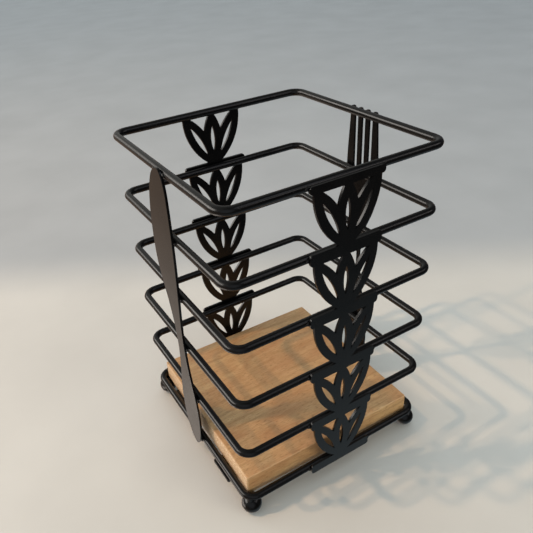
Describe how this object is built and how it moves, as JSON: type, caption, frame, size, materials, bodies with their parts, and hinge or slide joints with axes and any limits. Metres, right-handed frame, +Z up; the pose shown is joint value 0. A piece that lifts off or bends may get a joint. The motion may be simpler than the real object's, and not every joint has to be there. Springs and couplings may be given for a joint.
{
  "type": "cutlery dispenser",
  "caption": "Square open-wire cutlery holder: stacked steel rings on ball feet, knife, fork and leaf plates outside, wooden board as its floor.",
  "frame": {"origin": "on the surface that the ball feet stand on, under the middle of the basket", "axes": "+Z up through the open top; -Y is the front, where one leaf ornament is; the knife plate is on the -X side and the fork plate on the +X side"},
  "size_m": [0.112, 0.112, 0.1668],
  "materials": {
    "powder_coated_steel": "black satin powder coat on bent wire and cut sheet",
    "oiled_wood": "light hardwood, sanded and oiled, satin",
    "zinc_plated_steel": "bright zinc plate"
  },
  "bodies": {
    "root": {"base_ring": "powder_coated_steel", "ring_1": "powder_coated_steel", "ring_2": "powder_coated_steel", "ring_3": "powder_coated_steel", "ring_4": "powder_coated_steel", "ring_5": "powder_coated_steel", "foot_front_left": "powder_coated_steel", "foot_front_right": "powder_coated_steel", "foot_rear_right": "powder_coated_steel", "foot_rear_left": "powder_coated_steel", "strap_front": "powder_coated_steel", "strap_rear": "powder_coated_steel", "knife_plate": "powder_coated_steel", "fork_plate": "powder_coated_steel", "ornament_front": "powder_coated_steel", "ornament_rear": "powder_coated_steel", "wood_board": "oiled_wood", "board_screws": "zinc_plated_steel"}
  },
  "joints": []
}
